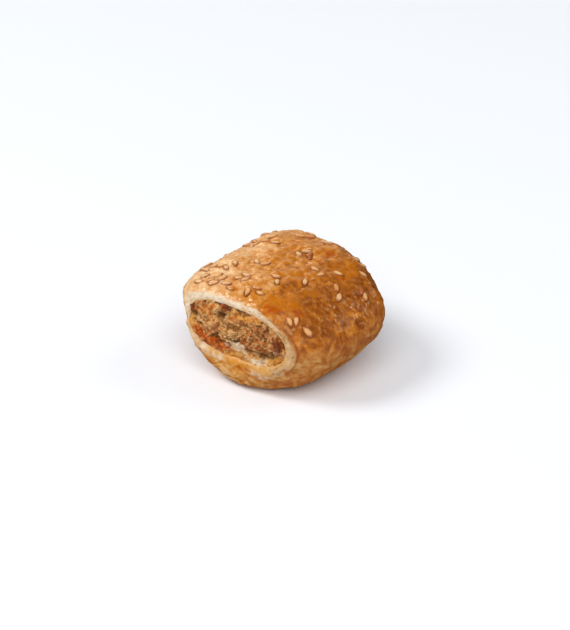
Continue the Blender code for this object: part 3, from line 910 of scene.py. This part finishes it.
def make_crumbs(front, back):
    """Loose crumbs on the meat's cut faces: squashed lumps, each with its own tint and painted shade."""
    draw = random.Random(CRUMB_DRAW)
    x, z, y = ball(CRUMB_RINGS, CRUMB_AROUND)
    plain = with_poles(np.stack([x, y, z], -1))
    plain_faces = capped_faces(CRUMB_RINGS, CRUMB_AROUND)
    points, faces = [], []
    marks = {key: [] for key in front[1]}
    for side, (grid, face_marks) in ((-1, front), (1, back)):
        ring_count, count = grid.shape[:2]
        for _ in range(CRUMBS):
            ring = min(int(draw.random() ** OUTWARD_POWER * ring_count), ring_count - CLEAR_OF_EDGE)
            spot = draw.randrange(count)
            radius = CRUMB_RADIUS + CRUMB_GROWTH * draw.random() ** GROWTH_POWER
            squash = np.array([draw.uniform(*SQUASH) for _ in range(3)])
            turned = Matrix.Rotation(draw.uniform(0, math.tau), 3, "Y")
            tint = draw.uniform(*CRUMB_TINT)
            own = {key: values[ring, spot] for key, values in face_marks.items()}
            if own["shaded_pit"] > MOST_PIT or own["calm"] > MOST_CALM:
                continue
            shape = plain * radius * squash * (1, CRUMB_FLATNESS, 1) @ np.array(turned).T
            middle = grid[ring, spot] - (0, side * radius * CRUMB_SUNK, 0)
            at = middle + shape * (1 + noise_of(shape + middle, *CRUMB_LUMPS)[:, None])
            own["tint"] += tint
            # Painted shade on each crumb, darker towards its outer side
            own["deep"] = CRUMB_SHADE + CRUMB_SHADE_OUTWARD * side * shape[:, 1] / radius
            add_copy(points, faces, at, plain_faces)
            for key, values in own.items():
                marks[key].extend(values + np.zeros(len(at)))
    return mesh_object("meat_crumbs", points, faces, marks)


# ---- materials
SHADER_INPUTS = ("Base Color", "Roughness", "Specular IOR Level", "Normal", "Subsurface Weight")
SHADER_INPUTS += ("Subsurface Radius", "Subsurface Scale")


class Nodes:
    """A short way to write a material's nodes. Colours are sRGB, from 0 to 255."""

    def __init__(self, name):
        self.material = bpy.data.materials.new(name)
        self.material.use_nodes = True
        self.tree = self.material.node_tree
        self.shader = self.tree.nodes["Principled BSDF"]

    def make(self, kind, inputs=None, **settings):
        node = self.tree.nodes.new(kind)
        for key, value in settings.items():
            setattr(node, key, value)
        for key, value in (inputs or {}).items():
            self.put(node.inputs[key], value)
        return node

    def put(self, socket, value):
        if isinstance(value, bpy.types.NodeSocket):
            self.tree.links.new(value, socket)
        else:
            socket.default_value = value

    def place(self):
        return self.make("ShaderNodeTexCoord").outputs["Object"]

    def attribute(self, name, output="Fac"):
        return self.make("ShaderNodeAttribute", attribute_name=name).outputs[output]

    def attributes(self, *names):
        return [self.attribute(name) for name in names]

    def math(self, operation, a, b, clamp=False):
        node = self.make("ShaderNodeMath", operation=operation, use_clamp=clamp)
        self.put(node.inputs[0], a)
        self.put(node.inputs[1], b)
        return node.outputs[0]

    def times(self, a, b):
        return self.math("MULTIPLY", a, b)

    def minus(self, a, b):
        return self.math("SUBTRACT", a, b)

    def more(self, a, b):
        return self.math("MAXIMUM", a, b)

    def range(self, value, low, high, to_low=0, to_high=1):
        node = self.make("ShaderNodeMapRange", interpolation_type="SMOOTHSTEP")
        for socket, number in zip(node.inputs[:5], (value, low, high, to_low, to_high)):
            self.put(socket, number)
        return node.outputs[0]

    def noise(self, vector, scale, detail, roughness, distortion=0):
        inputs = {"Vector": vector, "Scale": scale, "Detail": detail}
        inputs.update({"Roughness": roughness, "Distortion": distortion})
        return self.make("ShaderNodeTexNoise", inputs).outputs["Fac"]

    def stretched_noise(self, vector, scales, *rest):
        """Noise with a scale of its own along each axis."""
        stretched = self.make("ShaderNodeMapping", {"Vector": vector, "Scale": scales}).outputs[0]
        return self.noise(stretched, 1, *rest)

    def ramp(self, value, stops):
        node = self.make("ShaderNodeValToRGB", {"Fac": value})
        elements = node.color_ramp.elements
        while len(elements) < len(stops):
            elements.new(0.5)
        for element, (place, color) in zip(elements, stops):
            element.position = place
            element.color = srgb(color)
        return node.outputs["Color"]

    def mix(self, share, a, b):
        node = self.make("ShaderNodeMix", data_type="RGBA", blend_type="MIX")
        self.put(node.inputs["Factor"], share)
        for key, color in (("A", a), ("B", b)):
            self.put(node.inputs[key], srgb(color) if isinstance(color, tuple) else color)
        return node.outputs["Result"]

    def lay(self, color, mark, share, over):
        """One colour over another where a mark is, up to a stated share."""
        return self.mix(self.times(mark, share), color, over)

    def bump(self, height, distance, strength):
        inputs = {"Height": height, "Distance": distance, "Strength": strength}
        return self.make("ShaderNodeBump", inputs).outputs["Normal"]

    def finish(self, *values):
        """The material, its shader's inputs set in turn, by nodes or the same all over."""
        for key, value in zip(SHADER_INPUTS, values):
            self.put(self.shader.inputs[key], value)
        return self.material


def srgb(color):
    """Linear colour, with full alpha, of an sRGB one from 0 to 255, by the standard curve."""
    shares = [part / 255 for part in color]
    return (*(c / 12.92 if c <= 0.04045 else ((c + 0.055) / 1.055) ** 2.4 for c in shares), 1)


# Ramps are places and colours. Noises are scale, detail, roughness and distortion. Laid colours are a share
# and a colour. Bodies are the weight, radius and scale of the light that enters.
NOISE_MIDDLE = 0.5
GLAZE_SPECULAR = 0.5
GLAZED = (
    (0, (236, 194, 146)), (0.2, (222, 166, 106)), (0.4, (210, 140, 66)), (0.55, (196, 116, 29)),
    (0.7, (176, 101, 32)), (0.85, (149, 81, 25)), (1, (126, 60, 14)),
)
FLOURY = (
    (0, (216, 174, 122)), (0.35, (200, 148, 82)), (0.55, (192, 123, 42)), (0.75, (180, 100, 14)),
    (0.9, (168, 86, 6)), (1, (152, 73, 5)),
)
POOLED = ((0.3, (166, 82, 6)), (0.5, (192, 107, 8)), (0.7, (222, 148, 48)))
POOLED_SHARE = 0.7
FINE_NOISE = ((800, 1100, 800), 5, 0.78, 0.2)
FINE_ON_MATT = 0.05
CRINKLES = ((420, 620, 420), 1.5, 0.5, 0.1)
CRINKLE_PAINTED_SHADE = 0.3
CRINKLE_BUMP = (0.00014, 1)
FLAKES = ((360, 640, 360), 4, 0.65, 0.3)
FLAKE_EDGE = (0.53, 0.68)
FLAKE_SHARE = 0.4
FEWER_FLAKES = 0.3
FLAKE_COLOR = (220, 166, 104)
SCORCH_LAID = (0.85, (172, 70, 6))
LIP_FLOURY = 0.8
POOL_AND_SHADE_LAID = (0.92, (104, 40, 9))
SPECKS = (1100, 3, 0.6)
DOUGH = ((0.3, (222, 200, 168)), (0.7, (237, 220, 194)))
TOAST_AND_SHADE_LAID = (0.85, (184, 134, 78))
PATCH_NOISE = (420, 2, 0.5)
PATCH_RANGE = (0.42, 0.66)
PATCH_LAID = (0.25, (218, 172, 110))
PORE_SHADE_COLOR = (112, 84, 46)
CREASE_SHADE_LAID = (0.85, (138, 70, 26))
YELLOW_LAID = (0.7, (208, 150, 56))
JUICE_LAID = (0.75, (212, 144, 58))
GLOSS_NOISE = (260, 2, 0.5)
GLOSS_RANGE = (0.38, 0.6, 0.14, 0.34)
GLOSSIER_AMBER = 0.05
DULL_MATT = 0.6
DULLNESS = 0.6
CRUST_BODY = (0.1, (1, 0.5, 0.2), 0.0008)


def crust_material():
    n = Nodes("baked_crust")
    place = n.place()
    tone, matt, halo, amber, scorch, lip = n.attributes("tone", "matt", "halo", "amber", "scorch", "lip")
    cut, toast_and_shade, pore, juice, yellow = n.attributes("cut", "toast_and_shade", "pore", "juice", "yellow")
    fine = n.stretched_noise(place, *FINE_NOISE)
    crinkle = n.stretched_noise(place, *CRINKLES)
    uneven = n.times(n.minus(fine, NOISE_MIDDLE), n.minus(1, n.times(matt, FINE_ON_MATT)))
    # The crinkles are painted darker in their dips and paler on their ridges: painted shade and light of
    # their bump
    shade = n.minus(n.math("ADD", tone, uneven), n.times(n.minus(crinkle, NOISE_MIDDLE), CRINKLE_PAINTED_SHADE))

    flaking = n.range(n.stretched_noise(place, *FLAKES), *FLAKE_EDGE)
    flake = n.times(flaking, n.minus(FLAKE_SHARE, n.times(n.more(amber, lip), FEWER_FLAKES)))
    glazed = n.mix(flake, n.ramp(shade, GLAZED), FLAKE_COLOR)
    glazed = n.mix(n.times(amber, POOLED_SHARE), glazed, n.ramp(fine, POOLED))
    glazed = n.lay(glazed, scorch, *SCORCH_LAID)
    baked = n.mix(n.more(matt, n.times(lip, LIP_FLOURY)), glazed, n.ramp(shade, FLOURY))
    # Pooled glaze round each seed, and painted shade on its downhill side
    baked = n.lay(baked, halo, *POOL_AND_SHADE_LAID)

    # The cut dough browner where toasted, and darker on its right and low parts as painted shade
    dough = n.lay(n.ramp(n.noise(place, *SPECKS), DOUGH), toast_and_shade, *TOAST_AND_SHADE_LAID)
    dough = n.lay(dough, n.range(n.noise(place, *PATCH_NOISE), *PATCH_RANGE), *PATCH_LAID)
    # Painted shade in the pores
    dough = n.mix(pore, dough, PORE_SHADE_COLOR)

    # Painted shade in the crease
    color = n.lay(n.mix(cut, baked, dough), n.attribute("crease"), *CREASE_SHADE_LAID)
    color = n.lay(color, yellow, *YELLOW_LAID)
    color = n.lay(color, juice, *JUICE_LAID)
    gloss = n.range(n.noise(place, *GLOSS_NOISE), *GLOSS_RANGE)
    gloss = n.minus(gloss, n.times(amber, GLOSSIER_AMBER))
    dull = n.more(cut, n.times(matt, DULL_MATT))
    roughness = n.math("ADD", n.times(dull, DULLNESS), gloss, clamp=True)
    return n.finish(color, roughness, GLAZE_SPECULAR, n.bump(crinkle, *CRINKLE_BUMP), *CRUST_BODY)


# The looks of the sesame, pale first: name, body and tip
SESAME_LOOKS = (
    ("sesame_pale", (238, 190, 132), (148, 72, 30)),
    ("sesame_gold", (234, 178, 116), (152, 75, 32)),
    ("sesame_glazed", (222, 156, 92), (154, 78, 32)),
    ("sesame_toasted", (180, 106, 58), (130, 60, 26)),
)
TOWARDS_TIP = (0.2, 1)
TIP_SHARE = 0.35
TOWARDS_EDGE = (0.5, 0.92)
EDGE_BROWN_AND_SHADE_SHARE = 0.7
MOTTLE = (700, 3, 0.6)
MOTTLE_SHARE = 0.25
MOTTLE_BUMP = (0.00005, 0.6)
SESAME_ROUGHNESS = 0.15
SESAME_BODY = (0.15, (1, 0.6, 0.3), 0.0005)


def sesame_material(name, body, tip):
    n = Nodes(name)
    seed = n.make("ShaderNodeSeparateXYZ", {0: n.attribute("seed", "Vector")})
    mottle = n.noise(n.place(), *MOTTLE)
    color = n.lay(body, n.range(seed.outputs[0], *TOWARDS_TIP), TIP_SHARE, tip)
    color = n.lay(color, mottle, MOTTLE_SHARE, tip)
    # Darker towards the edge, where the seed meets the crust: a browned edge and painted shade
    color = n.lay(color, n.range(seed.outputs[1], *TOWARDS_EDGE), EDGE_BROWN_AND_SHADE_SHARE, tip)
    return n.finish(color, SESAME_ROUGHNESS, GLAZE_SPECULAR, n.bump(mottle, *MOTTLE_BUMP), *SESAME_BODY)


MEAT_GRAIN = (1200, 3, 0.6, 0.2)
GRAIN_BUMP = (0.00028, 0.9)
TINT_TONE = 0.75
GRAIN_TONE = 0.35
MEAT = (
    (0.2, (142, 88, 36)), (0.38, (186, 132, 74)), (0.54, (218, 172, 114)), (0.68, (204, 138, 68)),
    (0.85, (184, 98, 30)),
)
BROWN = ((0.35, (106, 38, 6)), (0.5, (152, 70, 18)), (0.65, (190, 112, 50)))
BROWN_NOISE = (500, 2, 0.5)
BROWN_RANGE = (0.35, 0.65, 0.4, 1)
BURNT = ((0.3, (82, 30, 6)), (0.5, (110, 44, 10)), (0.7, (150, 72, 24)))
BURNT_SHARE = 0.85
RED = ((0.3, (146, 50, 6)), (0.5, (190, 86, 16)), (0.7, (230, 140, 44)))
PALE = ((0.3, (208, 178, 140)), (0.65, (240, 222, 192)))
PALE_MEAT_SHARE = 0.85
OILY = ((0.3, (204, 118, 28)), (0.7, (238, 176, 76)))
OILY_SHARE = 0.8
HOLLOW_SHADE_COLOR = (94, 44, 6)
CRISP_HOLLOW_SHADE_COLOR = (128, 44, 4)
HOLLOW_RANGE = (-0.2, 1, 0, 0.8)
PIT_SHADE_LAID = (0.75, (78, 54, 16))
MOIST_GLOSS = (0.2, 0.9, 0.6, 0.3)
MEAT_SPECULAR = 0.2
MEAT_BODY = (0.1, (1, 0.5, 0.3), 0.0005)


def meat_material():
    n = Nodes("baked_meat")
    place = n.place()
    deep, toast, moist, fat = n.attributes("deep", "toast", "moist", "fat")
    shaded_pit, crisp, char, tint = n.attributes("shaded_pit", "crisp", "char", "tint")
    grain = n.noise(place, *MEAT_GRAIN)
    tone = n.math("ADD", n.times(tint, TINT_TONE), n.times(grain, GRAIN_TONE))
    meat = n.lay(n.ramp(tone, MEAT), fat, OILY_SHARE, n.ramp(grain, OILY))
    patchy = n.range(n.noise(place, *BROWN_NOISE), *BROWN_RANGE)
    meat = n.lay(meat, toast, patchy, n.ramp(grain, BROWN))
    meat = n.mix(crisp, meat, n.ramp(grain, RED))
    meat = n.lay(meat, moist, PALE_MEAT_SHARE, n.ramp(grain, PALE))
    # Dark colours of painted shade in the hollows
    hollow_shade = n.mix(crisp, HOLLOW_SHADE_COLOR, CRISP_HOLLOW_SHADE_COLOR)
    meat = n.mix(n.range(deep, *HOLLOW_RANGE), meat, hollow_shade)
    meat = n.lay(meat, char, BURNT_SHARE, n.ramp(grain, BURNT))
    # Painted shade in the pits
    meat = n.lay(meat, shaded_pit, *PIT_SHADE_LAID)
    gloss = n.range(moist, *MOIST_GLOSS)
    return n.finish(meat, gloss, MEAT_SPECULAR, n.bump(grain, *GRAIN_BUMP), *MEAT_BODY)


# ---- camera
PHOTO_WIDTH, PHOTO_HEIGHT = 570, 630
PIXEL_MIDDLE = 0.5
FOCAL_PIXELS = 2040
CAMERA_TURN, CAMERA_RISE = math.radians(41.316), math.radians(30.931)
CAMERA_DISTANCE = 582.9
AIM = (0.54, -0.29, 10.56)
AIM_PIXEL = (289.23, 327.13)
SENSOR = 36
CLIP_START, CLIP_END = 0.05, 20


def make_camera():
    back = Vector((
        math.sin(CAMERA_TURN) * math.cos(CAMERA_RISE),
        -math.cos(CAMERA_TURN) * math.cos(CAMERA_RISE),
        math.sin(CAMERA_RISE),
    ))
    right = Vector((math.cos(CAMERA_TURN), math.sin(CAMERA_TURN), 0))
    up = back.cross(right)
    data = bpy.data.cameras.new("camera")
    data.sensor_fit = "VERTICAL"
    data.sensor_height = SENSOR
    data.lens = FOCAL_PIXELS / PHOTO_HEIGHT * SENSOR
    data.clip_start, data.clip_end = CLIP_START, CLIP_END
    scale = CAMERA_DISTANCE / FOCAL_PIXELS
    aim = Vector(AIM) - right * (AIM_PIXEL[0] + PIXEL_MIDDLE - PHOTO_WIDTH / 2) * scale
    aim += up * (AIM_PIXEL[1] + PIXEL_MIDDLE - PHOTO_HEIGHT / 2) * scale
    camera = add_object("camera", data)
    camera.matrix_world = Matrix((right, up, back)).transposed().to_4x4()
    camera.location = (aim + back * CAMERA_DISTANCE) * MM
    bpy.context.scene.camera = camera


# ---- stage
WORLD_COLOR = (0.95, 0.98, 1.04, 1)
WORLD_STRENGTH = 0.28
FLOOR_HALF = 4
FLOOR_DROP = 0.00005
FLOOR_LOOK = ((0.915, 0.93, 0.96, 1), 0.9, 0.1)
LIGHT_DISTANCE = 2
WHITE = (1, 1, 1)
WARM_GLINT = (1, 0.78, 0.53)
# Name, direction, size in metres, watts, colour, whether gloss shows it, whether it lights
LIGHTS = (
    ("key", (-0.52, -0.44, 0.73), 0.85, 18.2, WHITE, True, True),
    ("fill", (0.38, -0.46, 0.8), 2, 26, WHITE, False, True),
    ("back", (0.47, 0.6, 0.62), 0.9, 5.5, WHITE, False, True),
    ("sheen", (-0.75, 0.66, 0.17), 1.9, 7, WARM_GLINT, True, False),
    ("spark", (-0.74, 0.42, 0.5), 0.8, 4.5, WARM_GLINT, True, False),
    ("glint", (0.49, 0.64, 0.54), 0.5, 4, WARM_GLINT, True, False),
)


def make_light(name, direction, size, power, color, glints, shading):
    data = bpy.data.lights.new(name, "AREA")
    data.shape = "DISK"
    data.size = size
    data.energy = power
    data.color = color
    light = add_object(name, data)
    light.visible_glossy = glints
    light.visible_diffuse = shading
    towards = Vector(direction).normalized()
    light.location = towards * LIGHT_DISTANCE
    light.rotation_euler = towards.to_track_quat("Z", "Y").to_euler()


def make_floor():
    """A white floor just under the roll, hidden from gloss so that it doesn't haze the crust."""
    square = [(x * FLOOR_HALF, y * FLOOR_HALF, 0) for x, y in ((-1, -1), (1, -1), (1, 1), (-1, 1))]
    mesh = bpy.data.meshes.new("floor")
    mesh.from_pydata(square, [], [(0, 1, 2, 3)])
    floor = add_object("floor", mesh)
    floor.location.z = -FLOOR_DROP
    floor.visible_glossy = False
    mesh.materials.append(Nodes("paper_white").finish(*FLOOR_LOOK))


def make_stage():
    bpy.context.scene.view_settings.view_transform = "Standard"
    world = bpy.data.worlds.new("studio")
    world.use_nodes = True
    background = world.node_tree.nodes["Background"]
    background.inputs["Color"].default_value = WORLD_COLOR
    background.inputs["Strength"].default_value = WORLD_STRENGTH
    world.cycles_visibility.glossy = False
    bpy.context.scene.world = world
    make_floor()
    for light in LIGHTS:
        make_light(*light)


# ---- the whole
def main():
    make_camera()
    make_stage()
    seeds = seed_places()
    crust_piece, sesame = make_crust(seeds), make_sesame(seeds)
    front, back = meat_face(-1), meat_face(1)
    meat, crumbs = make_meat(front, back), make_crumbs(front, back)
    sesame_looks = [sesame_material(*look) for look in SESAME_LOOKS]
    baked_meat = meat_material()
    pieces = (
        (crust_piece, "crust", [crust_material()]),
        (sesame, "crust", sesame_looks),
        (meat, "filling", [baked_meat]),
        (crumbs, "filling", [baked_meat]),
    )
    for piece, slot, materials in pieces:
        for material in materials:
            piece.data.materials.append(material)
        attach(piece, "root")
    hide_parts("pastry")
    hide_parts("filling")


main()
